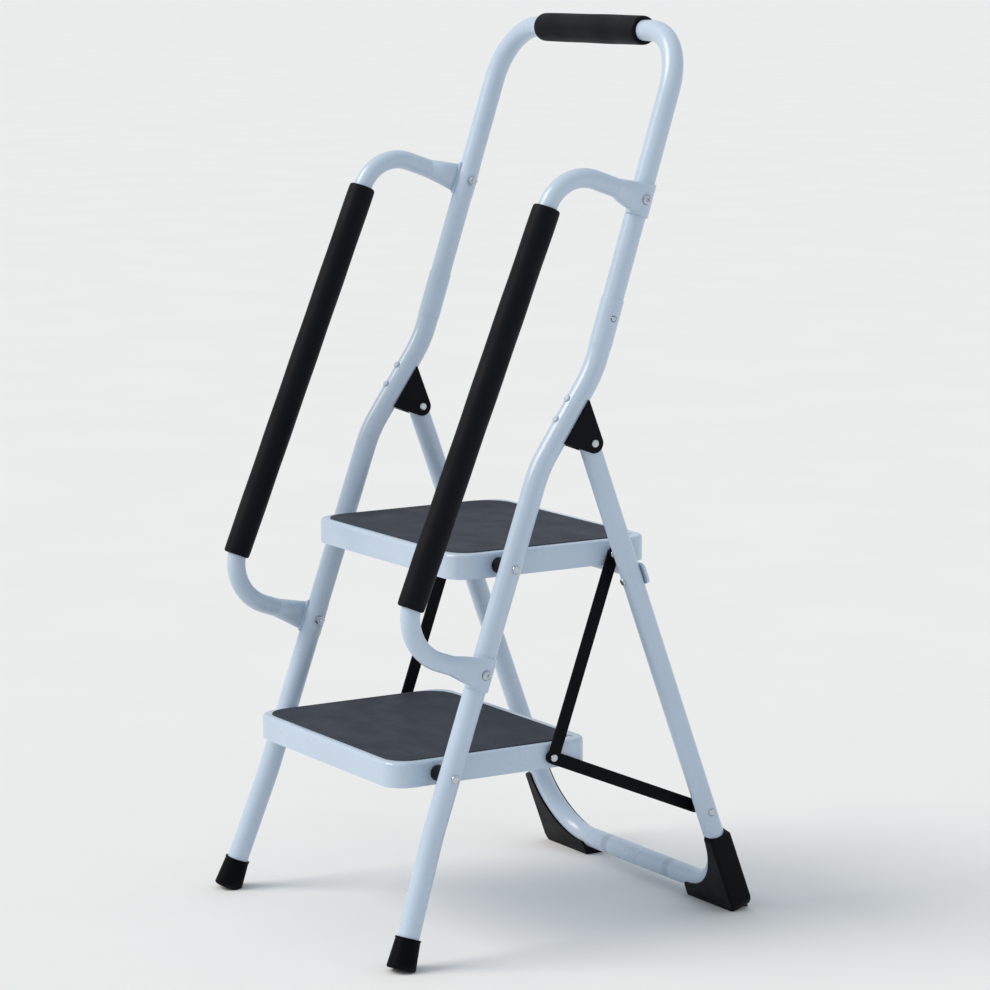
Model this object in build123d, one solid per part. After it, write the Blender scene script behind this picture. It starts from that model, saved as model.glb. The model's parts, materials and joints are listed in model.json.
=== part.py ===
"""Two-step folding step stool with a high handle and a padded handrail on each side.

Millimetres, +Z up. X runs across the stool and the user climbs towards +Y. The origin is on
the floor, below the middle of the whole stool. "right" nodes are on the +X side.
"""
from build123d import *
from math import atan, cos, hypot, pi, sin
import os

# ---- side rails: side-view slopes are dy/dz ----
FRONT_FOOT_Y = -232.31       # where a rail's axis meets the floor
KNEE_Z = 143.0               # below this the rails splay outward
BEND_LOW_Z = 543.5
BEND_HIGH_Z = 648.0
RAIL_TOP_Z = 728.0
HANDLE_TOP_Z = 1022.5
SLOPE_LOW = 0.359
SLOPE_MID = 0.694
SLOPE_HIGH = 0.335
HALF_WIDTH_FLOOR = 213.0
HALF_WIDTH_KNEE = 198.0
HALF_WIDTH_TOP = 191.4
RAIL_BEND_R = 140.0
KNEE_BEND_R = 250.0
RAIL_R = 12.5
RAIL_WALL = 1.0
SOCKET_Z = 678.0             # the rail's swaged top, which takes the handle
SOCKET_R = 13.0
HANDLE_R = 12.1
HANDLE_WALL = 1.0
HANDLE_CORNER_R = 68.0
INSERT_Z = 684.0
SOCKET_GAP = 0.1
SWAGE_LENGTH = 6.0
RAIL_END_Z = 7.0             # the tube's cut end, inside the foot

# ---- foam grips ----
HANDLE_GRIP_LENGTH = 217.0
HANDLE_GRIP_R = 17.2
HANDRAIL_GRIP_R = 16.0
GRIP_EDGE_R = 1.5

# ---- front feet ----
FOOT_BASE_Z = 1.5
FOOT_HEIGHT = 36.0
FOOT_R = (16.9, 14.2)        # at the floor and at the top
FOOT_BEAD_R = 14.9
FOOT_BEAD_HEIGHT = 2.5
FOOT_RIBS = 26
GROOVE_R = 0.9
GROOVE_FROM = (17.4, 2.5)    # distance from the axis and height, at each end of a groove
GROOVE_TO = (15.1, 32.0)
FOOT_FLOOR = 4.5             # rubber under the tube's end

# ---- side handrails, in a plane of constant X ----
HANDRAIL_X = 210.8
HANDRAIL_R = 11.0
HANDRAIL_WALL = 1.2
HANDRAIL_TOP_CORNER = (216.4, 879.0)      # y from the front foot, z
HANDRAIL_LOW_CORNER = (1.3, 361.3)
HANDRAIL_TOP_R = 50.0
HANDRAIL_LOW_R = 55.0
HANDRAIL_BOLT_TOP_Z = 837.7
HANDRAIL_BOLT_LOW_Z = 320.4
HANDRAIL_GRIP_TOP_Z = 835.3
HANDRAIL_GRIP_LOW_Z = 405.0
MOUTH_LENGTH = 46.0
MOUTH_HEIGHT = 38.0
MOUTH_SOLID = 17.0           # pressed solid from here to the bolt
SADDLE_WALL = 2.2
SADDLE_GAP = 0.05
SPOT_DEPTH = 0.3             # flat cut in the saddle under a bolt head
SEAT_GAP = 0.1               # under a flat head on a slightly leaning tube
WAIST_AHEAD = 24.0           # the half-flattened section, ahead of the bolt
WAIST_INSET = 5.6
WAIST_SIZE = (18.0, 30.0)
LIP_WIDTH = 5.2              # the flattened end at the bolt
LIP_HOLLOW = 1.4             # the lip's hollow narrows by this times the wall

# ---- rear leg frame ----
HINGE_Z = 568.3
HINGE_BACK = 47.9            # the hinge axis stands this far behind the rail's axis
REAR_SLOPE = 0.358
REAR_R = 12.1
REAR_WALL = 1.0
REAR_TUBE_Z = 20.9           # axis of the tube along the floor
REAR_CORNER_R = 80.0
REAR_TOP_STUB = 10.0         # tube beyond the hinge axis
BOOT_WALL = 2.6
BOOT_TOP = -76.0             # along the leg from the floor tube's axis
BOOT_TOE = -82.0             # along the floor tube from the leg's axis
BOOT_BULGE = 0.6             # extra on the outside, near the floor
BOOT_EDGE_R = 3.5
BOOT_SOLE = 8.0              # rubber below the floor tube's axis line, before the floor cut

# ---- steps ----
UPPER_PIVOT_Z = 434.8
LOWER_PIVOT_Z = 207.2
PAN_HALF_WIDTH = 168.4
PAN_FRONT = 55.4             # ahead of the pivot
PAN_BACK = 205.0             # behind the pivot
PAN_UP = 15.0                # top face above the pivot
PAN_DOWN = 13.7
PAN_SHEET = 1.2
PAN_CORNER_R = 26.6
PAN_EDGE_R = 4.0
PAN_HEM = 7.0
RECESS_DEPTH = 1.0
MAT_THICKNESS = 2.2
MAT_SIDE_INSET = 8.0
MAT_BACK_INSET = 12.0
MAT_FRONT_R = 28.0
MAT_BACK_R = 38.0
MAT_GAP = 0.3
MAT_EDGE_R = 0.8
DRAIN_HOLE = (147.1, 189.5)  # x and distance behind the pivot
DRAIN_R = 3.0

# ---- links, pivots and fasteners ----
LINK_REACH = (150.0, -1.0)   # from a step's front pivot to its link pivot, in y and z
LINK_WIDTH = 15.0
LINK_THICK = 3.0
LINK_GAP = 0.4
REAR_LINK_ANCHOR_Z = 123.6
PIVOT_R = 3.0
RUNNING = 0.06
LINK_PIN_R = 2.6
CLEAR = 0.3
CROSSBAR_R = 8.0
CROSSBAR_Z = 408.2           # leg height of the crossbar's rivets
CROSSBAR_FLAT = 3.0
CROSSBAR_FLAT_WIDTH = 25.0
CROSSBAR_ROUND_HALF = 169.5  # half length of the round stretch
CROSSBAR_FLAT_FROM = 186.0   # the flare ends here, inside the flat lug
CROSSBAR_WALL = 1.0
LUG_X = 195.0                # middle of the flat lug
LUG_LENGTH = 22.0
LUG_CORNER_R = 6.0
FLARE_INSET = (0.05, 0.2)    # the flare's end is this much smaller than the lug
BUTTON_Z = 706.5
BUTTON_R = 3.2
BUTTON_RIM = 0.9             # gap round the button in the rail
BUTTON_OUT = 1.2             # the button stands this far out of the socket
BUTTON_FLANGE = 1.2
SPRING_HALF_LENGTH = 16.0
SPRING_BOW = (9.6, 4.4)      # inward from the tube's axis, at the ends and in the middle
SPRING_THICK = 0.6
SPRING_HALF_WIDTH = 2.5
BRACKET_RIVETS_Z = (590.5, 612.5)
BRACKET_WEB = 20.5           # from the rail's axis back to the bracket's fork
BRACKET_MID_Z = 600.0
BRACKET_ENDS_Z = (621.0, 574.0)
BRACKET_START = 6.0          # the block starts this far behind the rail's axis
BRACKET_EYE_R = 11.4
BRACKET_CHEEK = 1.8
SPACER_R = 9.2
BUSH_R = 6.0
SMALL_RIVET_R = 2.4
BRACKET_HEAD = (4.2, 2.2)    # radius and height of each kind of rivet head
HINGE_HEAD = (4.6, 2.0)
STEP_HEAD = (4.8, 2.2)
LINK_HEAD = (4.4, 2.0)
LEG_HEAD = (4.4, 2.2)
BOLT_HEAD = (5.6, 3.6)
BOLT_TIP = 7.5               # beyond the tube's inner side
CROSS_RECESS = (2.4, 1.0, 5.4)
RECESS_FROM_SEAT = 3.2
WASHER_R = 5.4
WASHER_THICK = 1.2
NUT_CORNER_R = 5.2
NUT_THICK = 5.0
FIT_GAP = 0.05               # between a part and the tube it sits on
HOLE_FROM_X = 160.0          # a cross hole is cut between these
HOLE_TO_X = 240.0
CUTTER = 400.0               # larger than anything it cuts
SIDES = (("right", 1), ("left", -1))


# ---------------------------------------------------------------- places on the frame
def rail_y(z):
    """The y of a rail's axis at height z."""
    y = FRONT_FOOT_Y + SLOPE_LOW * min(z, BEND_LOW_Z)
    y += SLOPE_MID * max(0.0, min(z, BEND_HIGH_Z) - BEND_LOW_Z)
    return y + SLOPE_HIGH * max(0.0, z - BEND_HIGH_Z)


def rail_x(z):
    """Half the distance between the rails' axes at height z."""
    if z < KNEE_Z:
        return HALF_WIDTH_FLOOR + (HALF_WIDTH_KNEE - HALF_WIDTH_FLOOR) * z / KNEE_Z
    share = (z - KNEE_Z) / (HANDLE_TOP_Z - KNEE_Z)
    return HALF_WIDTH_KNEE + (HALF_WIDTH_TOP - HALF_WIDTH_KNEE) * share


def rail_point(side, z):
    return Vector(side * rail_x(z), rail_y(z), z)


def rail_direction(side, z):
    """Unit vector up along the rail at height z."""
    return (rail_point(side, z + 1) - rail_point(side, z - 1)).normalized()


def leg_point(side, z):
    """A point on a rear leg's axis."""
    return Vector(side * REAR_HALF_WIDTH, HINGE_Y + REAR_SLOPE * (HINGE_Z - z), z)


HINGE_Y = rail_y(HINGE_Z) + HINGE_BACK
REAR_HALF_WIDTH = rail_x(HINGE_Z)
UPPER_PIVOT = (rail_y(UPPER_PIVOT_Z), UPPER_PIVOT_Z)
LOWER_PIVOT = (rail_y(LOWER_PIVOT_Z), LOWER_PIVOT_Z)
UPPER_LINK = (UPPER_PIVOT[0] + LINK_REACH[0], UPPER_PIVOT[1] + LINK_REACH[1])
LOWER_LINK = (LOWER_PIVOT[0] + LINK_REACH[0], LOWER_PIVOT[1] + LINK_REACH[1])
REAR_ANCHOR = (leg_point(1, REAR_LINK_ANCHOR_Z).Y, REAR_LINK_ANCHOR_Z)
LEG_TILT = atan(REAR_SLOPE)
REAR_LINK_X = PAN_HALF_WIDTH + LINK_GAP           # inner faces of the link bars
TALL_LINK_X = REAR_LINK_X + LINK_THICK + LINK_GAP
BRACKET_HALF = REAR_R + CLEAR + BRACKET_CHEEK


# ---------------------------------------------------------------- shared shapes
def x_rod(y, z, radius, x0, x1):
    """A round rod along X between x0 and x1."""
    plane = Plane(origin=(min(x0, x1), y, z), x_dir=(0, 1, 0), z_dir=(1, 0, 0))
    return extrude(plane * Circle(radius), abs(x1 - x0))


def side_hole(side, y, z, radius):
    """Cutter for a hole along X through one side of the stool."""
    return x_rod(y, z, radius, side * HOLE_FROM_X, side * HOLE_TO_X)


def below_floor():
    """Cutter that leaves a sole flat on the floor."""
    return Box(2 * CUTTER, 2 * CUTTER, CUTTER, align=(Align.CENTER, Align.CENTER, Align.MAX))


def rod(start, end, radius):
    """A round rod between two points."""
    axis = Vector(end) - Vector(start)
    return extrude(Plane(origin=start, z_dir=axis) * Circle(radius), axis.length)


def cone(start, end, r0, r1):
    """A round taper between two points."""
    axis = Vector(end) - Vector(start)
    z_dir = axis.normalized()
    ends = Sketch() + Plane(origin=start, z_dir=z_dir) * Circle(r0)
    ends += Plane(origin=end, z_dir=z_dir) * Circle(r1)
    return loft(ends.faces())


def swept(path, radius):
    """A round bar along a path."""
    return sweep(Plane(origin=path @ 0, z_dir=path % 0) * Circle(radius), path=path)


def tube(path, radius, wall):
    return swept(path, radius) - swept(path, radius - wall)


def domed_head(base, direction, radius, height):
    """A rivet head: a short rod with a domed end."""
    direction = Vector(direction).normalized()
    tip = Vector(base) + direction * height
    head = rod(base, tip, radius)
    rim = head.edges().group_by(lambda e: (e.center() - Vector(base)).dot(direction))[-1]
    return fillet(rim, height * 0.8)


def rivet(start, end, radius, head):
    """A shank between two faces with a domed head, of a given radius and height, outside each."""
    axis = (Vector(end) - Vector(start)).normalized()
    body = rod(start, end, radius)
    body += domed_head(end, axis, *head)
    return body + domed_head(start, -axis, *head)


def both_sides(make):
    """One node with the same piece on each side, as separate solids."""
    return Compound(children=[make(side) for _, side in SIDES])


def save(shape, name):
    shape.label = name
    export_step(shape, f"parts/{name}.step")


# ---------------------------------------------------------------- front frame
def side_rail(side):
    """Bent tube from the front foot to the swaged socket that takes the handle."""
    swage_z = SOCKET_Z - SWAGE_LENGTH
    heights = [RAIL_END_Z, KNEE_Z, BEND_LOW_Z, BEND_HIGH_Z, swage_z]
    path = FilletPolyline(
        *[rail_point(side, z) for z in heights],
        radius=[KNEE_BEND_R, RAIL_BEND_R, RAIL_BEND_R],
    )
    swage_start, swage_end = rail_point(side, swage_z), rail_point(side, SOCKET_Z)
    top = rail_point(side, RAIL_TOP_Z)
    bore = HANDLE_R + SOCKET_GAP
    socket = rod(swage_end, top, SOCKET_R)
    socket = fillet(socket.edges().sort_by(Axis.Z)[-1], 0.7)
    shape = swept(path, RAIL_R) + cone(swage_start, swage_end, RAIL_R, SOCKET_R) + socket
    shape -= swept(path, RAIL_R - RAIL_WALL)
    shape -= cone(swage_start, swage_end, RAIL_R - RAIL_WALL, bore)
    shape -= rod(swage_end, top, bore)
    for z in (UPPER_PIVOT_Z, LOWER_PIVOT_Z, HANDRAIL_BOLT_LOW_Z):
        shape -= side_hole(side, rail_y(z), z, PIVOT_R)
    shape -= button_hole(side, BUTTON_R + BUTTON_RIM)
    for z in BRACKET_RIVETS_Z:
        shape -= bracket_rivet_hole(side, z)
    return shape


def button_hole(side, radius):
    """Cutter for the snap button's hole, through the outer wall only."""
    x0 = side * rail_x(BUTTON_Z)
    return x_rod(rail_y(BUTTON_Z), BUTTON_Z, radius, x0, side * HOLE_TO_X)


def handle_tube():
    """Upside-down U that slides into both rails."""
    path = FilletPolyline(
        rail_point(1, INSERT_Z), rail_point(1, HANDLE_TOP_Z),
        rail_point(-1, HANDLE_TOP_Z), rail_point(-1, INSERT_Z),
        radius=HANDLE_CORNER_R,
    )
    shape = tube(path, HANDLE_R, HANDLE_WALL)
    z = HANDRAIL_BOLT_TOP_Z
    for _, side in SIDES:
        shape -= side_hole(side, rail_y(z), z, PIVOT_R)
        shape -= button_hole(side, BUTTON_R + SOCKET_GAP)
    return shape


def handle_grip():
    half = HANDLE_GRIP_LENGTH / 2
    y = rail_y(HANDLE_TOP_Z)
    shape = x_rod(y, HANDLE_TOP_Z, HANDLE_GRIP_R, -half, half)
    shape = fillet(shape.edges(), GRIP_EDGE_R)
    return shape - x_rod(y, HANDLE_TOP_Z, HANDLE_R, -half, half)


def front_foot(side):
    """Rubber cup on the rail's end: flared, ribbed, and flat where it meets the floor."""
    up = rail_direction(side, RAIL_END_Z)
    base = rail_point(side, FOOT_BASE_Z)
    top = base + up * FOOT_HEIGHT
    cup = cone(base, top, *FOOT_R)
    cup = fillet(cup.edges().sort_by(Axis.Z)[0], 2.0)
    cup += fillet(rod(top - up * FOOT_BEAD_HEIGHT, top, FOOT_BEAD_R).edges(), 0.8)
    frame = Plane(origin=base, z_dir=up)
    grooves = []
    for i in range(FOOT_RIBS):
        turn = 2 * pi * i / FOOT_RIBS
        ends = [Vector(out * cos(turn), out * sin(turn), height) for out, height in (GROOVE_FROM, GROOVE_TO)]
        grooves.append(rod(*[frame.from_local_coords(end) for end in ends], GROOVE_R))
    cup -= grooves
    cup -= rod(base + up * FOOT_FLOOR, top, RAIL_R + FIT_GAP)
    return cup - below_floor()


def bracket_rivet_hole(side, z):
    """Front-to-back hole through a rail for a hinge bracket's rivet."""
    centre = rail_point(side, z)
    back = rail_back(side, z)
    return rod(centre - back * 2 * RAIL_R, centre + back * 2 * RAIL_R, SMALL_RIVET_R)


def rail_back(side, z):
    """Unit vector square to the rail, pointing back and down, in the side view."""
    up = rail_direction(side, z)
    return Vector(0, up.Z, -up.Y).normalized()


def hinge_bracket(side):
    """Moulded block behind the rail, forked around the rear leg's top."""
    x = side * rail_x(HINGE_Z)
    back = rail_back(side, BRACKET_MID_Z)
    upper, lower = [rail_point(side, z) + back * BRACKET_START for z in BRACKET_ENDS_Z]
    plane = Plane(origin=(x - BRACKET_HALF, 0, 0), x_dir=(0, 1, 0), z_dir=(1, 0, 0))
    outline = make_hull([
        *Polyline((upper.Y, upper.Z), (lower.Y, lower.Z), (HINGE_Y, HINGE_Z), close=True).edges(),
        *(Pos(HINGE_Y, HINGE_Z) * Circle(BRACKET_EYE_R)).edges(),
    ])
    block = extrude(plane * outline, 2 * BRACKET_HALF)
    faces = block.faces().sort_by(Axis.X)
    block = fillet(faces[0].edges() + faces[-1].edges(), 0.8)
    block -= rod(rail_point(side, BEND_LOW_Z), rail_point(side, BEND_HIGH_Z), RAIL_R + FIT_GAP)
    fork = REAR_R + CLEAR
    along = rail_direction(side, BRACKET_MID_Z)
    origin = rail_point(side, BRACKET_MID_Z) + back * BRACKET_WEB
    cut_plane = Plane(origin=(x, origin.Y, origin.Z), x_dir=(1, 0, 0), z_dir=along)
    behind = (Align.CENTER, Align.MIN, Align.CENTER)
    block -= cut_plane * Box(2 * fork, CUTTER, CUTTER, align=behind)
    block -= side_hole(side, HINGE_Y, HINGE_Z, PIVOT_R)
    for z in BRACKET_RIVETS_Z:
        block -= bracket_rivet_hole(side, z)
    return block


def bracket_rivets(side):
    """Two rivets that hold a hinge bracket: domed heads ahead of the rail."""
    pieces = []
    for z in BRACKET_RIVETS_Z:
        centre = rail_point(side, z)
        back = rail_back(side, z)
        ends = (centre + back * BRACKET_WEB, centre - back * RAIL_R)
        pieces.append(rivet(*ends, SMALL_RIVET_R, BRACKET_HEAD))
    return pieces


def hinge_rivet(side):
    """Pivot of a rear leg, through both cheeks of its bracket."""
    x = side * rail_x(HINGE_Z)
    ends = [(x + out, HINGE_Y, HINGE_Z) for out in (-BRACKET_HALF, BRACKET_HALF)]
    return rivet(*ends, PIVOT_R, HINGE_HEAD)


def step_pivot_rivet(side, pivot):
    """Pivot of a step, from inside the pan's flange to outside the rail."""
    y, z = pivot
    inner = side * (PAN_HALF_WIDTH - PAN_SHEET - CLEAR)
    outer = side * (rail_x(z) + RAIL_R + SEAT_GAP)
    return rivet((inner, y, z), (outer, y, z), PIVOT_R, STEP_HEAD)


def pivot_spacer(side, pivot):
    """Black dome between a pan and a rail, hollowed to sit on the round rail."""
    y, z = pivot
    inner = PAN_HALF_WIDTH + CLEAR
    outer = rail_x(z) - 4
    shape = x_rod(y, z, SPACER_R, side * inner, side * outer)
    ends = shape.faces().sort_by(Axis.X)
    near_pan = ends[0] if side > 0 else ends[-1]
    shape = fillet(near_pan.edges(), 3.0)
    shape -= side_hole(side, y, z, PIVOT_R)
    return shape - rod(rail_point(side, z - 40), rail_point(side, z + 40), RAIL_R + FIT_GAP)


# ---------------------------------------------------------------- handrails
def handrail_corner(side, corner):
    return Vector(side * HANDRAIL_X, FRONT_FOOT_Y + corner[0], corner[1])


def bolted_tube_r(bolt_z):
    """Radius of the tube that a handrail bolt goes through: the rail below, the handle above."""
    return RAIL_R if bolt_z < BEND_HIGH_Z else HANDLE_R


def bolt_seat(bolt_z):
    """Distance from the middle plane to the flat under a handrail bolt's head."""
    return rail_x(bolt_z) + bolted_tube_r(bolt_z) + SADDLE_GAP + SADDLE_WALL - SPOT_DEPTH


def handrail_end(side, bolt_z):
    """The bolt's place on the rail, and the tube's direction towards it, in the side view."""
    corner = HANDRAIL_TOP_CORNER if bolt_z > BEND_HIGH_Z else HANDRAIL_LOW_CORNER
    bolt = Vector(side * HANDRAIL_X, rail_y(bolt_z), bolt_z)
    return bolt, (bolt - handrail_corner(side, corner)).normalized()


def section(bolt, towards, ahead, x_centre, width, height):
    """One elliptical section of a flattened mouth, at a distance ahead of the bolt."""
    origin = Vector(x_centre, bolt.Y, bolt.Z) - towards * ahead
    plane = Plane(origin=origin, x_dir=(1, 0, 0), z_dir=towards)
    return plane * Ellipse(width / 2, height / 2)


def mouth(side, bolt_z, shrink):
    """The flattened end of a handrail as a solid, from round tube to a wide lip."""
    bolt, towards = handrail_end(side, bolt_z)
    outside = rail_x(bolt_z) + bolted_tube_r(bolt_z) + SADDLE_GAP + SADDLE_WALL
    full = 2 * (HANDRAIL_R - shrink)
    waist = [size - 2 * shrink for size in WAIST_SIZE]
    waist_x = side * (outside - WAIST_INSET)
    lip = (LIP_WIDTH - LIP_HOLLOW * shrink, MOUTH_HEIGHT - 2 * shrink)
    lip_x = side * (outside - LIP_WIDTH / 2)
    return loft([
        section(bolt, towards, MOUTH_LENGTH, side * HANDRAIL_X, full, full),
        section(bolt, towards, WAIST_AHEAD, waist_x, *waist),
        section(bolt, towards, 0.0, lip_x, *lip),
    ])


def mouth_hollow(side, bolt_z):
    """The inside of a mouth, which stops short of the bolt."""
    bolt, towards = handrail_end(side, bolt_z)
    stop = Plane(origin=bolt - towards * MOUTH_SOLID, x_dir=(1, 0, 0), z_dir=towards)
    ahead = stop * Box(CUTTER, CUTTER, CUTTER, align=(Align.CENTER, Align.CENTER, Align.MAX))
    return mouth(side, bolt_z, HANDRAIL_WALL) & ahead


def saddle(side, bolt_z):
    """Half ring that wraps the outer side of the rail at a handrail's end."""
    r = bolted_tube_r(bolt_z) + SADDLE_GAP
    up = rail_direction(side, bolt_z)
    centre = rail_point(side, bolt_z)
    ring = rod(centre - up * (MOUTH_HEIGHT / 2), centre + up * (MOUTH_HEIGHT / 2), r + SADDLE_WALL)
    outward = (Align.MIN if side > 0 else Align.MAX, Align.CENTER, Align.CENTER)
    return ring & Pos(centre) * Box(CUTTER, CUTTER, CUTTER, align=outward)


def handrail(side):
    """C-shaped tube whose flattened, hollowed ends hug the rail's outer side."""
    if side < 0:
        return mirror(handrail(1), Plane.YZ)
    top_bolt, top_dir = handrail_end(side, HANDRAIL_BOLT_TOP_Z)
    low_bolt, low_dir = handrail_end(side, HANDRAIL_BOLT_LOW_Z)
    path = FilletPolyline(
        top_bolt - top_dir * MOUTH_LENGTH,
        handrail_corner(side, HANDRAIL_TOP_CORNER),
        handrail_corner(side, HANDRAIL_LOW_CORNER),
        low_bolt - low_dir * MOUTH_LENGTH,
        radius=[HANDRAIL_TOP_R, HANDRAIL_LOW_R],
    )
    shape = swept(path, HANDRAIL_R)
    bores = [swept(path, HANDRAIL_R - HANDRAIL_WALL)]
    for bolt_z in (HANDRAIL_BOLT_TOP_Z, HANDRAIL_BOLT_LOW_Z):
        shape += mouth(side, bolt_z, 0.0)
        shape += saddle(side, bolt_z)
        bores.append(mouth_hollow(side, bolt_z))
        r = bolted_tube_r(bolt_z) + SADDLE_GAP
        bores.append(rod(rail_point(side, bolt_z - 50), rail_point(side, bolt_z + 50), r))
        bores.append(side_hole(side, rail_y(bolt_z), bolt_z, PIVOT_R))
        seat = (side * bolt_seat(bolt_z), side * HOLE_TO_X)
        bores.append(x_rod(rail_y(bolt_z), bolt_z, BUSH_R, *seat))
    for bore in bores:
        shape -= bore
    return shape


def handrail_grip(side):
    """Long foam sleeve on the straight run of a handrail."""
    (y1, z1), (y2, z2) = HANDRAIL_TOP_CORNER, HANDRAIL_LOW_CORNER
    slope = (y1 - y2) / (z1 - z2)
    ends = []
    for z in (HANDRAIL_GRIP_LOW_Z, HANDRAIL_GRIP_TOP_Z):
        ends.append(Vector(side * HANDRAIL_X, FRONT_FOOT_Y + y2 + slope * (z - z2), z))
    shape = fillet(rod(ends[0], ends[1], HANDRAIL_GRIP_R).edges(), GRIP_EDGE_R)
    return shape - rod(ends[0], ends[1], HANDRAIL_R)


def handrail_bolt(side, bolt_z):
    """Pan-head bolt with a cross recess, through the saddle and the rail."""
    y = rail_y(bolt_z)
    seat = side * bolt_seat(bolt_z)
    head = domed_head((seat, y, bolt_z), (side, 0, 0), *BOLT_HEAD)
    tip = side * (rail_x(bolt_z) - bolted_tube_r(bolt_z) - BOLT_TIP)
    shape = head + x_rod(y, bolt_z, PIVOT_R - FIT_GAP, seat, tip)
    recess_x = seat + side * RECESS_FROM_SEAT
    for turn in (45, 135):
        shape -= Pos(recess_x, y, bolt_z) * Rot(turn, 0, 0) * Box(*CROSS_RECESS)
    return shape


def handrail_nut(side, bolt_z):
    """Hexagon nut on the inner side of the rail, on a small washer."""
    y = rail_y(bolt_z)
    face = rail_x(bolt_z) - bolted_tube_r(bolt_z) - SEAT_GAP
    washer = face - WASHER_THICK
    end = washer - NUT_THICK
    shape = x_rod(y, bolt_z, WASHER_R, side * face, side * washer)
    plane = Plane(origin=(min(side * washer, side * end), y, bolt_z), x_dir=(0, 1, 0), z_dir=(1, 0, 0))
    shape += extrude(plane * RegularPolygon(NUT_CORNER_R, 6), NUT_THICK)
    return shape - side_hole(side, y, bolt_z, PIVOT_R - FIT_GAP)


# ---------------------------------------------------------------- snap buttons
def snap_button(side):
    """Sprung button that locks the handle in its socket."""
    y = rail_y(BUTTON_Z)
    x = rail_x(BUTTON_Z)
    inner_wall = x + HANDLE_R - HANDLE_WALL
    flange_out = inner_wall - BUTTON_FLANGE
    flange = (side * (flange_out - BUTTON_FLANGE), side * flange_out)
    shape = x_rod(y, BUTTON_Z, BUTTON_R, flange[0], side * (x + SOCKET_R + BUTTON_OUT))
    ends = shape.faces().sort_by(Axis.X)
    shape = fillet((ends[-1] if side > 0 else ends[0]).edges(), 2.2)
    return shape + x_rod(y, BUTTON_Z, BUTTON_R + BUTTON_FLANGE, *flange)


def button_spring(side):
    """Bowed leaf inside the handle tube, on the far wall from the button."""
    centre = rail_point(side, BUTTON_Z)
    up = rail_direction(side, BUTTON_Z)
    inward = Vector(-side, 0, 0)
    low = centre - up * SPRING_HALF_LENGTH + inward * SPRING_BOW[0]
    high = centre + up * SPRING_HALF_LENGTH + inward * SPRING_BOW[0]
    mid = centre + inward * SPRING_BOW[1]
    plane = Plane(origin=centre, x_dir=inward, z_dir=(up.cross(inward)))
    points = [plane.to_local_coords(point) for point in (low, mid, high)]
    arc = ThreePointArc(*[(point.X, point.Y) for point in points])
    leaf = trace(arc, line_width=SPRING_THICK)
    return extrude(plane * leaf, SPRING_HALF_WIDTH, both=True)


# ---------------------------------------------------------------- rear frame
def rear_leg_frame():
    """U-shaped tube: two legs and the bar along the floor."""
    down = (leg_point(1, 100) - leg_point(1, 200)).normalized()
    tops = {side: leg_point(side, HINGE_Z) - down * REAR_TOP_STUB for _, side in SIDES}
    path = FilletPolyline(
        tops[1], leg_point(1, REAR_TUBE_Z), leg_point(-1, REAR_TUBE_Z), tops[-1],
        radius=REAR_CORNER_R,
    )
    shape = tube(path, REAR_R, REAR_WALL)
    for _, side in SIDES:
        shape -= side_hole(side, HINGE_Y, HINGE_Z, PIVOT_R + RUNNING)
        shape -= side_hole(side, *REAR_ANCHOR, LINK_PIN_R)
        shape -= crossbar_rivet_hole(side)
    return shape


def leg_back():
    """Unit vector square to the rear legs, pointing back and up."""
    return Vector(0, cos(LEG_TILT), sin(LEG_TILT))


def crossbar_rivet_hole(side):
    centre = leg_point(side, CROSSBAR_Z)
    return rod(centre - leg_back() * 2 * REAR_R, centre + leg_back() * 2 * REAR_R, SMALL_RIVET_R)


def rear_crossbar():
    """Round bar under the upper step, flattened and riveted to the back of each leg."""
    offset = REAR_R + CROSSBAR_FLAT / 2
    centre = leg_point(1, CROSSBAR_Z) + leg_back() * offset
    reach = CROSSBAR_ROUND_HALF
    shape = x_rod(centre.Y, centre.Z, CROSSBAR_R, -reach, reach)
    flat_size = (CROSSBAR_FLAT / 2 - FLARE_INSET[0], CROSSBAR_FLAT_WIDTH / 2 - FLARE_INSET[1])
    lug_outline = RectangleRounded(LUG_LENGTH, CROSSBAR_FLAT_WIDTH, LUG_CORNER_R)
    for _, side in SIDES:
        start, end = [
            Plane(origin=(side * x, centre.Y, centre.Z), x_dir=leg_back(), z_dir=(side, 0, 0))
            for x in (reach, CROSSBAR_FLAT_FROM)
        ]
        shape += loft([start * Circle(CROSSBAR_R), end * Ellipse(*flat_size)])
        lug = Plane(origin=(side * LUG_X, centre.Y, centre.Z), x_dir=(1, 0, 0), z_dir=leg_back())
        shape += extrude(lug * lug_outline, CROSSBAR_FLAT / 2, both=True)
        shape -= crossbar_rivet_hole(side)
    shape -= x_rod(centre.Y, centre.Z, CROSSBAR_R - CROSSBAR_WALL, -reach, reach)
    return shape


def crossbar_rivet(side):
    centre = leg_point(side, CROSSBAR_Z)
    back = leg_back()
    ends = (centre - back * REAR_R, centre + back * (REAR_R + CROSSBAR_FLAT))
    return rivet(*ends, SMALL_RIVET_R, LEG_HEAD)


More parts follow.
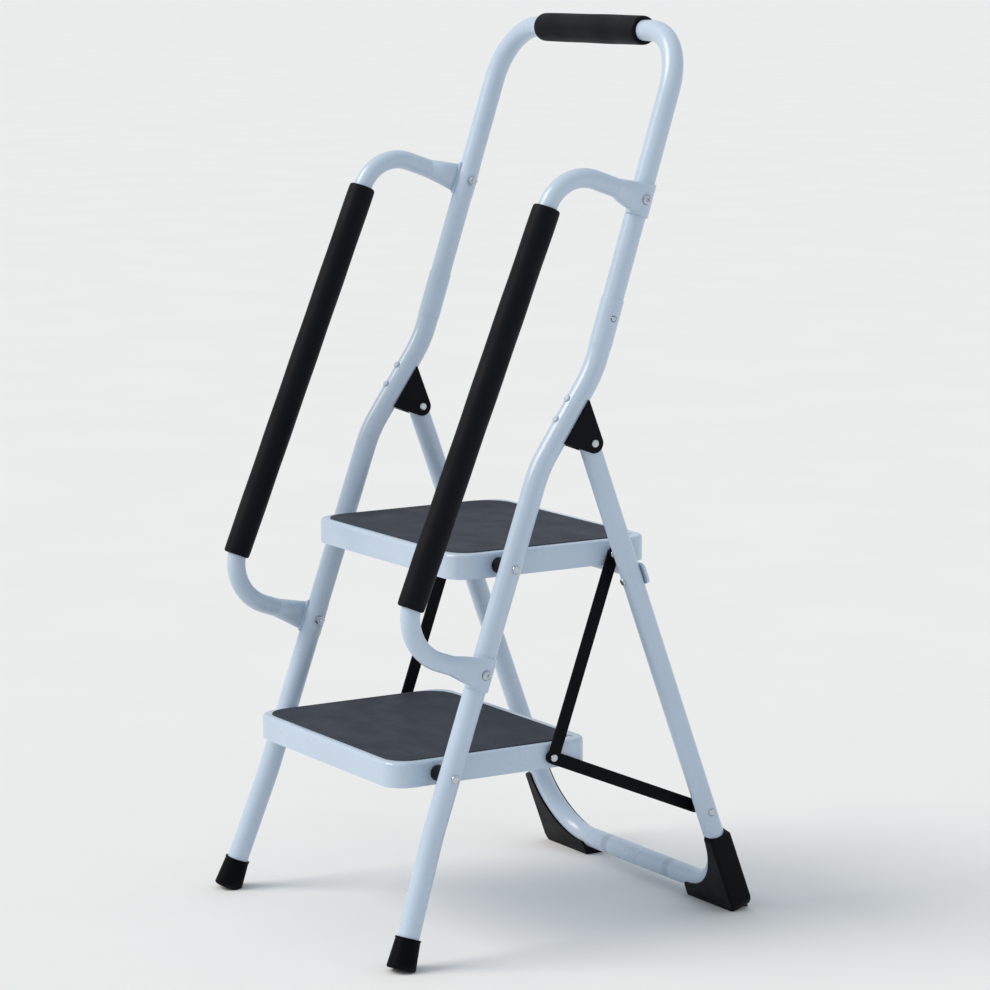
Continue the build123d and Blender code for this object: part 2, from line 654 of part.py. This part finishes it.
def rear_boot(side):
    """Plastic boot round the outside of a rear corner, flat on the floor."""
    if side < 0:
        return mirror(rear_boot(1), Plane.YZ)
    corner = leg_point(1, REAR_TUBE_Z)
    frame = Plane(origin=corner, x_dir=(1, 0, 0), z_dir=leg_back())   # local +y runs down the leg
    half = REAR_R + BOOT_WALL
    out = half + BOOT_BULGE
    sole = REAR_TUBE_Z / cos(LEG_TILT) + BOOT_SOLE
    r = REAR_CORNER_R
    mid = r * (1 - cos(pi / 4))
    outer = [
        Line((half, BOOT_TOP), (out, sole - 26)),
        ThreePointArc((out, sole - 26), (out - 4, sole - 13), (out - 16, sole - 8)),
        Line((out - 16, sole - 8), (out - 16, sole)),
        Line((out - 16, sole), (BOOT_TOE, sole)),
    ]
    inner = [
        Line((BOOT_TOE, sole), (BOOT_TOE, 4)),
        Line((BOOT_TOE, 4), (-r, 0)),
        ThreePointArc((-r, 0), (-mid, -mid), (0, -r)),
        Line((0, -r), (half, BOOT_TOP)),
    ]
    block = extrude(make_face(outer + inner), half, both=True)
    rims = [e for e in block.edges() if abs(abs(e.center().Z) - half) < 0.01 and e.center().X > 6]
    block = fillet(rims, BOOT_EDGE_R)
    bend = FilletPolyline((0, -160), (0, 0), (-200, 0), radius=r)
    block = frame * (block - swept(bend, REAR_R + FIT_GAP))
    return block - below_floor()


def rear_link_rivet(side):
    """Outer half of a rear link's pivot: head outside the leg, shank to the spacer's end."""
    y, z = REAR_ANCHOR
    end = side * (REAR_LINK_X + LINK_THICK + CLEAR)
    face = side * (REAR_HALF_WIDTH + REAR_R)
    head = domed_head((face, y, z), (side, 0, 0), *LEG_HEAD)
    return x_rod(y, z, LINK_PIN_R, end, face) + head


def rear_link_spacer(side):
    """Bush that holds a rear link clear of the leg."""
    y, z = REAR_ANCHOR
    inner = REAR_LINK_X + LINK_THICK + CLEAR
    shape = x_rod(y, z, BUSH_R, side * inner, side * (REAR_HALF_WIDTH - 4))
    shape -= side_hole(side, y, z, LINK_PIN_R)
    return shape - rod(leg_point(side, z - 40), leg_point(side, z + 40), REAR_R + FIT_GAP)


# ---------------------------------------------------------------- steps
def rounded_plate(half, front, back, front_r, back_r, z, thickness):
    """Plate about a step's pivot with its own front and back corner radii."""
    outline = Pos(0, (back - front) / 2) * Rectangle(2 * half, front + back)
    corners = outline.vertices().group_by(Axis.Y)
    outline = fillet(corners[0], front_r)
    outline = fillet(outline.vertices().group_by(Axis.Y)[-1], back_r)
    return extrude(Pos(0, 0, z) * outline, thickness)


def step_pan(pivot):
    """Pressed steel tread: rounded box open below, recessed for its mat, with a rolled hem."""
    height = PAN_UP + PAN_DOWN
    r = PAN_CORNER_R
    shape = rounded_plate(PAN_HALF_WIDTH, PAN_FRONT, PAN_BACK, r, r, -PAN_DOWN, height)
    shape = fillet(shape.faces().sort_by(Axis.Z)[-1].edges(), PAN_EDGE_R)
    t = PAN_SHEET
    inside = rounded_plate(
        PAN_HALF_WIDTH - t, PAN_FRONT - t, PAN_BACK - t, r - t, r - t, -PAN_DOWN - 1, height - t + 1,
    )
    shape -= fillet(inside.faces().sort_by(Axis.Z)[-1].edges(), PAN_EDGE_R - t)
    hem = rounded_plate(PAN_HALF_WIDTH - t / 2, PAN_FRONT - t / 2, PAN_BACK - t / 2, r, r, -PAN_DOWN, t)
    w = PAN_HEM
    hem -= rounded_plate(
        PAN_HALF_WIDTH - w, PAN_FRONT - w, PAN_BACK - w, r - w, r - w, -PAN_DOWN - 1, t + 2,
    )
    shape += hem
    bed = mat_outline(MAT_GAP + 1.0, PAN_UP - RECESS_DEPTH - t, RECESS_DEPTH + 0.5)
    shape += bed
    shape -= mat_outline(MAT_GAP, PAN_UP - RECESS_DEPTH, RECESS_DEPTH + 5)
    for _, side in SIDES:
        shape -= side_hole(side, 0, 0, PIVOT_R + RUNNING)
        shape -= side_hole(side, *LINK_REACH, LINK_PIN_R)
        shape -= Pos(side * DRAIN_HOLE[0], DRAIN_HOLE[1], PAN_UP) * Cylinder(DRAIN_R, 8)
    return Pos(0, *pivot) * shape


def mat_outline(grow, z, thickness):
    return rounded_plate(
        PAN_HALF_WIDTH - MAT_SIDE_INSET + grow,
        PAN_FRONT - MAT_SIDE_INSET + grow,
        PAN_BACK - MAT_BACK_INSET + grow,
        MAT_FRONT_R + grow, MAT_BACK_R + grow, z, thickness,
    )


def step_mat(pivot):
    """Flat rubber mat with a softened top edge, glued into the tread's recess."""
    mat = mat_outline(0, PAN_UP - RECESS_DEPTH, MAT_THICKNESS)
    mat = fillet(mat.faces().sort_by(Axis.Z)[-1].edges(), MAT_EDGE_R)
    return Pos(0, *pivot) * mat


# ---------------------------------------------------------------- links
def bar(ends, x_inner, side, holes):
    """Flat bar with round ends between two (y, z) points, with a hole at each."""
    (y0, z0), (y1, z1) = ends
    length = hypot(y1 - y0, z1 - z0)
    x = side * x_inner if side > 0 else side * x_inner - LINK_THICK
    plane = Plane(origin=(x, (y0 + y1) / 2, (z0 + z1) / 2), x_dir=(0, y1 - y0, z1 - z0), z_dir=(1, 0, 0))
    shape = extrude(plane * SlotCenterToCenter(length, LINK_WIDTH), LINK_THICK)
    shape = fillet(shape.faces().filter_by(Axis.X).edges(), 0.4)
    for (y, z), radius in zip(ends, holes):
        shape -= side_hole(side, y, z, radius)
    return shape


def vertical_link(side):
    """Bar that keeps the two steps parallel."""
    hole = LINK_PIN_R + RUNNING
    return bar((UPPER_LINK, LOWER_LINK), TALL_LINK_X, side, (hole, hole))


def rear_link(side):
    """Bar from the lower step to the rear leg."""
    return bar((LOWER_LINK, REAR_ANCHOR), REAR_LINK_X, side, (LINK_PIN_R + RUNNING, LINK_PIN_R))


def rear_link_pin(side):
    """Inner half of a rear link's pivot, fixed in the link."""
    y, z = REAR_ANCHOR
    x0 = side * REAR_LINK_X
    head = domed_head((x0, y, z), (-side, 0, 0), *LINK_HEAD)
    return x_rod(y, z, LINK_PIN_R, x0, x0 + side * LINK_THICK) + head


def link_rivet(side, pivot, through):
    """Rivet through a pan's flange and the bars outside it."""
    inner = (side * (PAN_HALF_WIDTH - PAN_SHEET), *pivot)
    outer = (side * (through + CLEAR / 2), *pivot)
    return rivet(inner, outer, LINK_PIN_R, LINK_HEAD)


def link_washer(side):
    """Spacer washer between the upper pan and its link bar."""
    y, z = UPPER_LINK
    x0, x1 = side * PAN_HALF_WIDTH, side * (TALL_LINK_X - CLEAR / 2)
    return x_rod(y, z, BUSH_R, x0, x1) - side_hole(side, y, z, LINK_PIN_R)


# ---------------------------------------------------------------- write every node
def main():
    os.makedirs("parts", exist_ok=True)
    for name, side in SIDES:
        save(side_rail(side), f"side_rail_{name}")
        save(front_foot(side), f"front_foot_{name}")
        save(hinge_bracket(side), f"hinge_bracket_{name}")
        save(handrail(side), f"handrail_{name}")
        save(handrail_grip(side), f"handrail_grip_{name}")
        save(snap_button(side), f"snap_button_{name}")
        save(button_spring(side), f"button_spring_{name}")
        save(rear_boot(side), f"rear_boot_{name}")
        save(vertical_link(side), f"vertical_link_{name}")
        save(rear_link(side), f"rear_link_{name}")
        save(rear_link_pin(side), f"rear_link_pin_{name}")
    save(handle_tube(), "handle_tube")
    save(handle_grip(), "handle_grip")
    save(rear_leg_frame(), "rear_leg_frame")
    save(rear_crossbar(), "rear_crossbar")
    save(both_sides(crossbar_rivet), "crossbar_rivets")
    save(both_sides(rear_link_rivet), "rear_link_rivets")
    save(both_sides(rear_link_spacer), "rear_link_spacers")
    save(both_sides(hinge_rivet), "hinge_rivets")
    rivets = [piece for _, side in SIDES for piece in bracket_rivets(side)]
    save(Compound(children=rivets), "bracket_rivets")
    bolt_heights = (HANDRAIL_BOLT_TOP_Z, HANDRAIL_BOLT_LOW_Z)
    pairs = [(side, z) for _, side in SIDES for z in bolt_heights]
    save(Compound(children=[handrail_bolt(*pair) for pair in pairs]), "handrail_bolts")
    save(Compound(children=[handrail_nut(*pair) for pair in pairs]), "handrail_nuts")
    steps = (("upper", UPPER_PIVOT, UPPER_LINK), ("lower", LOWER_PIVOT, LOWER_LINK))
    pivots = [(side, step[1]) for _, side in SIDES for step in steps]
    save(Compound(children=[step_pivot_rivet(*pair) for pair in pivots]), "step_pivot_rivets")
    save(Compound(children=[pivot_spacer(*pair) for pair in pivots]), "pivot_spacers")
    for name, pivot, link in steps:
        save(step_pan(pivot), f"{name}_step_pan")
        save(step_mat(pivot), f"{name}_step_mat")
        through = TALL_LINK_X + LINK_THICK
        rivets = [link_rivet(side, link, through) for _, side in SIDES]
        save(Compound(children=rivets), f"{name}_link_rivets")
    save(both_sides(link_washer), "upper_link_washers")


main()
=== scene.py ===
"""Looks for the folding step stool: camera, light, materials and foam grips around the CAD frame."""
import json
from math import cos, pi, radians, sin

import bmesh
import bpy
import numpy as np
from mathutils import Matrix, Vector


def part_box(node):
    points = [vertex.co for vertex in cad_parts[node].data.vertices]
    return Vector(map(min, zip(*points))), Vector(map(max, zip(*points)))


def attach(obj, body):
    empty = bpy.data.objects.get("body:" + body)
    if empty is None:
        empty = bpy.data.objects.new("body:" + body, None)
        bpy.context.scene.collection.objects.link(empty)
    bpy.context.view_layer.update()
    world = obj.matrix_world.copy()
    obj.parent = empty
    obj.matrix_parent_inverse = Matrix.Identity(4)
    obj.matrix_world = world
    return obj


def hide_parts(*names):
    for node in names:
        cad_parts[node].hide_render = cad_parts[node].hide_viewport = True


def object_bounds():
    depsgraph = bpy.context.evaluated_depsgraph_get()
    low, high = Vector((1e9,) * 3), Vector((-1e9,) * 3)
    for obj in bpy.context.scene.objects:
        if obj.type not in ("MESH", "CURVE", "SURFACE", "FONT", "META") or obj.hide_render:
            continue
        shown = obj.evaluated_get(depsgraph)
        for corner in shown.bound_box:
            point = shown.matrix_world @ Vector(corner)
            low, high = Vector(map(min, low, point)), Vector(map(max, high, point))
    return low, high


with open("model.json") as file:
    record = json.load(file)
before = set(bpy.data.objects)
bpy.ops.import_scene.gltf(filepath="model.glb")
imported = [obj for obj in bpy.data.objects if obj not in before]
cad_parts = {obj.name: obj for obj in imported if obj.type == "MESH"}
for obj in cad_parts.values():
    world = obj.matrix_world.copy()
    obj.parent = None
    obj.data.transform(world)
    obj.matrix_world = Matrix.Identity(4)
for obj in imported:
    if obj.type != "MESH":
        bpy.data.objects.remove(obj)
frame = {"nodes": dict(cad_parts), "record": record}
cad_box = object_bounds()

# ---- camera, in the part's own frame, in metres and degrees ----
CAMERA_AT = (3.62984, -2.13085, 1.13742)
CAMERA_YAW = 59.339
CAMERA_PITCH = 8.805         # downwards
CAMERA_ROLL = -0.514
CAMERA_LENS_MM = 132.68
CAMERA_SENSOR_MM = 36.0

# ---- grips ----
HANDRAIL_R = 0.0110
HANDLE_R = 0.0121
BORE_GAP = 0.0001            # between a sleeve and its tube
BORE_LIP = 0.006             # each end's wall goes this far into the bore
GRIP_SEGMENTS = 96
GRIP_END_ROUND = 0.0026
GRIP_END_STEPS = 7
HANDLE_ROWS = 60
HANDLE_SEED = 0.4
HANDRAIL_ROWS = 150
HANDRAIL_SEED = 1.7
RIPPLE_DEPTH = 0.00012
SLOW_WAVE = 31.0             # radians per metre along the sleeve
QUICK_WAVE = 67.0
END_PINCH = 0.0004           # the skin draws in by this much more at its very ends
END_PINCH_LENGTH = 0.012

# ---- studio ----
FLOOR_HALF = 200.0           # so wide that no horizon shows from the main camera
FLOOR_CELLS = 8
FLOOR_DROP = 0.0002          # keeps the floor just clear of the soles
SKY_COLOUR = (0.88, 0.95, 1.0)
SKY_STRENGTH = 0.70
SUN_FROM = (-0.45, -1.00, 1.00)
SUN_COLOUR = (1.0, 0.92, 0.83)
SUN_STRENGTH = 1.95
SUN_ANGLE = 35

# ---- the two clear bands round the rear frame's floor tube ----
BAND_X = 0.0685
BAND_HALF = 0.0065
BAND_EDGE = 0.0006
BAND_FADE_Z = (0.040, 0.044)  # above these heights the legs have no bands
BAND_STRENGTH = 0.55
BAND_SHADE = 0.62

# ---- colours, linear ----
PAINT = (0.490, 0.590, 0.715)
PAINT_DRIFT = 0.95
FOAM_BLACK = (0.0026, 0.0029, 0.0054)
FOAM_RUBBED = (0.0045, 0.0049, 0.0078)
MAT_CHARCOAL = (0.034, 0.040, 0.057)
MAT_STREAK = (0.052, 0.059, 0.074)
MAT_GRAIN = (0.075, 0.082, 0.098)
MAT_SPECK = (0.16, 0.165, 0.17)
FOOT_BLACK = (0.0012, 0.0014, 0.0022)
FOOT_DUST = (0.085, 0.085, 0.082)
PLASTIC_BLACK = (0.0018, 0.0020, 0.0038)
PLASTIC_RUBBED = (0.0040, 0.0044, 0.0060)
LINK_BLACK = (0.0015, 0.0017, 0.0029)
LINK_RUBBED = (0.0055, 0.0060, 0.0075)
ZINC_BRIGHT = (0.62, 0.65, 0.69)
ZINC_DULL = (0.50, 0.53, 0.58)
FLOOR_PALE = (0.82, 0.82, 0.82)
FLOOR_SHADE = (0.80, 0.80, 0.80)

NOISE_SPREAD = (0.3, 0.7)    # most of a noise texture's values lie between these
SIDES = ("right", "left")


# ---------------------------------------------------------------- node helpers
class Shader:
    """A Principled material with short calls for its procedural detail."""

    def __init__(self, name, colour, roughness, **sockets):
        self.material = bpy.data.materials.new(name)
        self.material.use_nodes = True
        self.tree = self.material.node_tree
        self.surface = self.tree.nodes["Principled BSDF"]
        self.set("Base Color", (*colour, 1.0))
        self.set("Roughness", roughness)
        for socket, value in sockets.items():
            self.set(socket.replace("_", " "), value)
        self.place = self.node("ShaderNodeTexCoord").outputs["Object"]
        self.normal = None

    def set(self, socket, value):
        self.surface.inputs[socket].default_value = value

    def link(self, output, target):
        self.tree.links.new(output, target)

    def node(self, kind, **values):
        made = self.tree.nodes.new(kind)
        for key, value in values.items():
            setattr(made, key, value)
        return made

    def coordinate(self, axis):
        """The X, Y or Z of a point, in the piece's own frame."""
        split = self.node("ShaderNodeSeparateXYZ")
        self.link(self.place, split.inputs["Vector"])
        return split.outputs[axis]

    def maths(self, operation, *values):
        """A Math node over one or two values, each a socket or a number."""
        made = self.node("ShaderNodeMath", operation=operation)
        for value, target in zip(values, made.inputs):
            if isinstance(value, float):
                target.default_value = value
            else:
                self.link(value, target)
        return made.outputs["Value"]

    def stretched(self, scale):
        mapping = self.node("ShaderNodeMapping")
        mapping.inputs["Scale"].default_value = scale
        self.link(self.place, mapping.inputs["Vector"])
        return mapping.outputs["Vector"]

    def noise(self, scale, detail=3.0, stretch=None):
        texture = self.node("ShaderNodeTexNoise")
        texture.inputs["Scale"].default_value = scale
        texture.inputs["Detail"].default_value = detail
        self.link(self.stretched(stretch) if stretch else self.place, texture.inputs["Vector"])
        return texture.outputs["Fac"]

    def cells(self, scale):
        """Distance to the nearest point of a random scatter."""
        texture = self.node("ShaderNodeTexVoronoi", feature="F1")
        texture.inputs["Scale"].default_value = scale
        self.link(self.place, texture.inputs["Vector"])
        return texture.outputs["Distance"]

    def ranged(self, value, low, high, to_low=0.0, to_high=1.0):
        ranging = self.node("ShaderNodeMapRange")
        ends = {"From Min": low, "From Max": high, "To Min": to_low, "To Max": to_high}
        for socket, number in ends.items():
            ranging.inputs[socket].default_value = number
        self.link(value, ranging.inputs["Value"])
        return ranging.outputs["Result"]

    def tint(self, factor, colour):
        """Mixes a second colour over what the base colour has so far."""
        mixing = self.node("ShaderNodeMix", data_type="RGBA")
        base = self.surface.inputs["Base Color"]
        if base.is_linked:
            self.link(base.links[0].from_socket, mixing.inputs["A"])
        else:
            mixing.inputs["A"].default_value = base.default_value
        mixing.inputs["B"].default_value = (*colour, 1.0)
        self.link(factor, mixing.inputs["Factor"])
        self.link(mixing.outputs["Result"], base)

    def noise_tint(self, colour, scale, start, full, detail=3.0, amount=1.0, stretch=None):
        """Tints where a noise texture is above start, by up to the given amount."""
        noise = self.noise(scale, detail, stretch)
        self.tint(self.ranged(noise, start, full, to_high=amount), colour)

    def wandering_roughness(self, scale, smoothest, roughest, detail=3.0):
        wander = self.ranged(self.noise(scale, detail), *NOISE_SPREAD, smoothest, roughest)
        self.link(wander, self.surface.inputs["Roughness"])

    def bump(self, height, strength, distance):
        """Adds a layer of bump on top of the layers so far."""
        bumping = self.node("ShaderNodeBump")
        bumping.inputs["Strength"].default_value = strength
        bumping.inputs["Distance"].default_value = distance
        self.link(height, bumping.inputs["Height"])
        if self.normal:
            self.link(self.normal, bumping.inputs["Normal"])
        self.normal = bumping.outputs["Normal"]
        self.link(self.normal, self.surface.inputs["Normal"])


def shade(colour, amount):
    return tuple(channel * amount for channel in colour)


# ---------------------------------------------------------------- materials
def frame_paint(name="paint_pale_blue"):
    """Gloss powder coat: orange peel and a slow drift of tone."""
    paint = Shader(name, PAINT, 0.30, Coat_Weight=0.35, Coat_Roughness=0.12)
    paint.noise_tint(shade(PAINT, PAINT_DRIFT), scale=9.0, start=0.35, full=0.70)
    paint.wandering_roughness(scale=35.0, detail=5.0, smoothest=0.24, roughest=0.38)
    paint.bump(paint.noise(scale=420.0, detail=2.0), strength=0.05, distance=0.0003)
    return paint


def rear_paint():
    """The same paint, with two clear bands round the tube along the floor."""
    paint = frame_paint("paint_pale_blue_banded")
    across = paint.maths("ABSOLUTE", paint.coordinate("X"))
    off_band = paint.maths("ABSOLUTE", paint.maths("SUBTRACT", across, BAND_X))
    band = paint.ranged(off_band, BAND_HALF - BAND_EDGE, BAND_HALF, BAND_STRENGTH, 0.0)
    low_down = paint.ranged(paint.coordinate("Z"), *BAND_FADE_Z, 1.0, 0.0)
    paint.tint(paint.maths("MULTIPLY", band, low_down), shade(PAINT, BAND_SHADE))
    return paint


def foam():
    """Closed-cell foam skin: satin black, fine cells and slow dents."""
    skin = Shader("foam_black", FOAM_BLACK, 0.52, Specular_IOR_Level=0.11)
    skin.noise_tint(FOAM_RUBBED, scale=40.0, detail=5.0, start=0.45, full=0.75, amount=0.6)
    skin.wandering_roughness(scale=22.0, smoothest=0.48, roughest=0.64)
    skin.bump(skin.noise(scale=14.0), strength=0.25, distance=0.0012)
    skin.bump(skin.cells(scale=1500.0), strength=0.35, distance=0.00025)
    return skin


def mat_rubber():
    """Fine-grained rubber mat with faint streaks across the tread and a few pale specks."""
    rubber = Shader("mat_charcoal", MAT_CHARCOAL, 0.72, Specular_IOR_Level=0.18)
    rubber.noise_tint(
        MAT_STREAK, scale=7.0, detail=6.0, start=0.40, full=0.70, amount=0.6, stretch=(1.0, 5.0, 1.0)
    )
    rubber.noise_tint(MAT_GRAIN, scale=900.0, detail=2.0, start=0.55, full=0.75, amount=0.35)
    rubber.tint(rubber.ranged(rubber.cells(scale=90.0), 0.015, 0.03, to_low=0.5, to_high=0.0), MAT_SPECK)
    rubber.wandering_roughness(scale=25.0, detail=5.0, smoothest=0.62, roughest=0.82)
    rubber.bump(rubber.cells(scale=850.0), strength=0.55, distance=0.00035)
    return rubber


def foot_rubber():
    """Moulded rubber with a soft shine and a little floor dust on its lower edge."""
    rubber = Shader("foot_black", FOOT_BLACK, 0.36, Specular_IOR_Level=0.06)
    low_down = rubber.ranged(rubber.coordinate("Z"), 0.0, 0.010, to_low=0.22, to_high=0.0)
    rubber.tint(rubber.maths("MULTIPLY", low_down, rubber.noise(scale=160.0, detail=6.0)), FOOT_DUST)
    rubber.wandering_roughness(scale=70.0, detail=5.0, smoothest=0.38, roughest=0.56)
    rubber.bump(rubber.noise(scale=700.0), strength=0.25, distance=0.0003)
    return rubber


def moulded_plastic():
    """Black nylon with a spark-eroded grain."""
    plastic = Shader("plastic_black", PLASTIC_BLACK, 0.36, Specular_IOR_Level=0.10)
    plastic.noise_tint(PLASTIC_RUBBED, scale=50.0, detail=5.0, start=0.5, full=0.75, amount=0.5)
    plastic.wandering_roughness(scale=40.0, detail=4.0, smoothest=0.38, roughest=0.54)
    plastic.bump(plastic.cells(scale=1100.0), strength=0.40, distance=0.0003)
    return plastic


def link_paint():
    """Satin black powder coat on flat bar."""
    paint = Shader("link_black", LINK_BLACK, 0.34, Specular_IOR_Level=0.08)
    paint.noise_tint(LINK_RUBBED, scale=70.0, detail=6.0, start=0.62, full=0.75, amount=0.5)
    paint.wandering_roughness(scale=45.0, detail=4.0, smoothest=0.33, roughest=0.50)
    paint.bump(paint.noise(scale=650.0, detail=2.0), strength=0.22, distance=0.0003)
    return paint


def zinc():
    """Bright zinc plate with a spangle of tone and fine tool marks."""
    metal = Shader("zinc_plate", ZINC_BRIGHT, 0.27, Metallic=1.0)
    metal.tint(metal.ranged(metal.cells(scale=500.0), 0.1, 0.6), ZINC_DULL)
    metal.wandering_roughness(scale=260.0, detail=5.0, smoothest=0.18, roughest=0.38)
    metal.bump(metal.noise(scale=500.0, stretch=(1.0, 1.0, 6.0)), strength=0.18, distance=0.0002)
    return metal


MAKERS = {
    "frame_paint": frame_paint,
    "grip_foam": foam,
    "mat_rubber": mat_rubber,
    "foot_rubber": foot_rubber,
    "black_plastic": moulded_plastic,
    "link_paint": link_paint,
    "zinc_steel": zinc,
}


def dress(piece, material):
    piece.data.materials.clear()
    piece.data.materials.append(material)


def dress_frame(materials, banded):
    """Every CAD node takes the material of its slot, and the rear tube takes the banded paint."""
    for part in frame["record"]["subparts"]:
        dress(frame["nodes"][part["node"]], materials[part["material_slot"]])
    dress(frame["nodes"]["rear_leg_frame"], banded)


# ---------------------------------------------------------------- foam grips
def sleeve_line(node):
    """The two ends of a round sleeve's axis and its outer radius, from its CAD mesh."""
    points = np.array([vertex.co for vertex in frame["nodes"][node].data.vertices])
    low, high = (np.array(corner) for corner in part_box(node))
    centre = (low + high) / 2
    axis = np.linalg.svd(points - centre, full_matrices=False)[2][0]
    along = (points - centre) @ axis
    away = np.linalg.norm(points - centre - np.outer(along, axis), axis=1)
    start, end = centre + axis * along.min(), centre + axis * along.max()
    return Vector(start), Vector(end), float(away.max())


def grip_profile(length, outer, bore, rows):
    """(distance along, radius) pairs round the sleeve's wall, from one bore end to the other."""
    turn = GRIP_END_ROUND
    quarter = np.linspace(0, pi / 2, GRIP_END_STEPS)
    rounding = [(turn * (1 - sin(a)), outer - turn * (1 - cos(a))) for a in quarter]
    straight = np.linspace(turn, length - turn, rows)[1:-1]
    profile = [(BORE_LIP, bore), (0.0, bore)]
    profile += rounding[::-1]
    profile += [(step, outer) for step in straight]
    profile += [(length - inset, radius) for inset, radius in rounding]
    return profile + [(length, bore), (length - BORE_LIP, bore)]


def skin_ripple(along, turn, length, seed):
    """How far the foam's skin stands in from its full radius, in metres."""
    slow = sin(along * SLOW_WAVE + seed) * sin(2 * turn + seed)
    quick = sin(along * QUICK_WAVE + 2 * turn)
    near_end = max(0.0, 1 - min(along, length - along) / END_PINCH_LENGTH)
    return RIPPLE_DEPTH * (2 + slow + quick) + END_PINCH * near_end ** 2


def foam_sleeve(name, node, body, bore, rows, seed, material):
    """A foam sleeve with rounded ends and a skin that isn't quite even."""
    start, end, outer = sleeve_line(node)
    length = (end - start).length
    axis = (end - start).normalized()
    side = axis.orthogonal().normalized()
    up = axis.cross(side)
    mesh = bmesh.new()
    rings = []
    for along, radius in grip_profile(length, outer, bore, rows):
        ring = []
        for step in range(GRIP_SEGMENTS):
            turn = 2 * pi * step / GRIP_SEGMENTS
            skin = radius if radius == bore else radius - skin_ripple(along, turn, length, seed)
            outward = side * cos(turn) + up * sin(turn)
            ring.append(mesh.verts.new(start + axis * along + outward * skin))
        rings.append(ring)
    rings.append(rings[0])
    for one, two in zip(rings, rings[1:]):
        for step in range(GRIP_SEGMENTS):
            after = (step + 1) % GRIP_SEGMENTS
            mesh.faces.new((one[step], one[after], two[after], two[step]))
    bmesh.ops.recalc_face_normals(mesh, faces=mesh.faces)
    data = bpy.data.meshes.new(name)
    mesh.to_mesh(data)
    mesh.free()
    data.shade_smooth()
    piece = bpy.data.objects.new(name, data)
    bpy.context.scene.collection.objects.link(piece)
    dress(piece, material)
    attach(piece, body)
    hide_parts(node)


def make_grips(material):
    """One sleeve on the handle and one on each handrail."""
    bore = HANDLE_R + BORE_GAP
    foam_sleeve("handle_foam", "handle_grip", "front_frame", bore, HANDLE_ROWS, HANDLE_SEED, material)
    bore = HANDRAIL_R + BORE_GAP
    for index, side in enumerate(SIDES):
        name, node = f"handrail_foam_{side}", f"handrail_grip_{side}"
        foam_sleeve(name, node, "front_frame", bore, HANDRAIL_ROWS, HANDRAIL_SEED + index, material)


# ---------------------------------------------------------------- camera, floor and light
def make_camera():
    yaw, pitch, roll = radians(CAMERA_YAW), radians(CAMERA_PITCH), radians(CAMERA_ROLL)
    across = Vector((cos(yaw), sin(yaw), 0))
    ahead = Vector((-sin(yaw) * cos(pitch), cos(yaw) * cos(pitch), -sin(pitch)))
    above = across.cross(ahead)
    right = across * cos(roll) + above * sin(roll)
    up = above * cos(roll) - across * sin(roll)
    lens = bpy.data.cameras.new("camera")
    lens.lens = CAMERA_LENS_MM
    lens.sensor_width = CAMERA_SENSOR_MM
    camera = bpy.data.objects.new("camera", lens)
    camera.matrix_world = Matrix.Translation(CAMERA_AT) @ Matrix((right, up, -ahead)).transposed().to_4x4()
    bpy.context.scene.collection.objects.link(camera)
    bpy.context.scene.camera = camera


def make_floor():
    """A plain pale floor just under the soles."""
    mesh = bmesh.new()
    bmesh.ops.create_grid(mesh, x_segments=FLOOR_CELLS, y_segments=FLOOR_CELLS, size=FLOOR_HALF)
    data = bpy.data.meshes.new("floor")
    mesh.to_mesh(data)
    mesh.free()
    floor = bpy.data.objects.new("floor", data)
    floor.location.z = cad_box[0][2] - FLOOR_DROP
    bpy.context.scene.collection.objects.link(floor)
    surface = Shader("floor_pale", FLOOR_PALE, 0.85)
    surface.noise_tint(FLOOR_SHADE, scale=3.0, start=0.3, full=0.7)
    dress(floor, surface.material)


def make_light():
    """Pale even surroundings, and one very soft sun high in front, on the stool's left."""
    world = bpy.data.worlds.new("studio")
    world.use_nodes = True
    sky = world.node_tree.nodes["Background"]
    sky.inputs["Color"].default_value = (*SKY_COLOUR, 1.0)
    sky.inputs["Strength"].default_value = SKY_STRENGTH
    bpy.context.scene.world = world
    light = bpy.data.lights.new("soft_sun", "SUN")
    light.energy = SUN_STRENGTH
    light.angle = radians(SUN_ANGLE)
    light.color = SUN_COLOUR
    lamp = bpy.data.objects.new("soft_sun", light)
    lamp.rotation_euler = (-Vector(SUN_FROM)).to_track_quat("-Z", "Y").to_euler()
    bpy.context.scene.collection.objects.link(lamp)
    bpy.context.scene.view_settings.view_transform = "Standard"


def main():
    make_camera()
    materials = {slot: maker().material for slot, maker in MAKERS.items()}
    dress_frame(materials, rear_paint().material)
    make_grips(materials["grip_foam"])
    make_floor()
    make_light()


main()
bpy.context.view_layer.update()
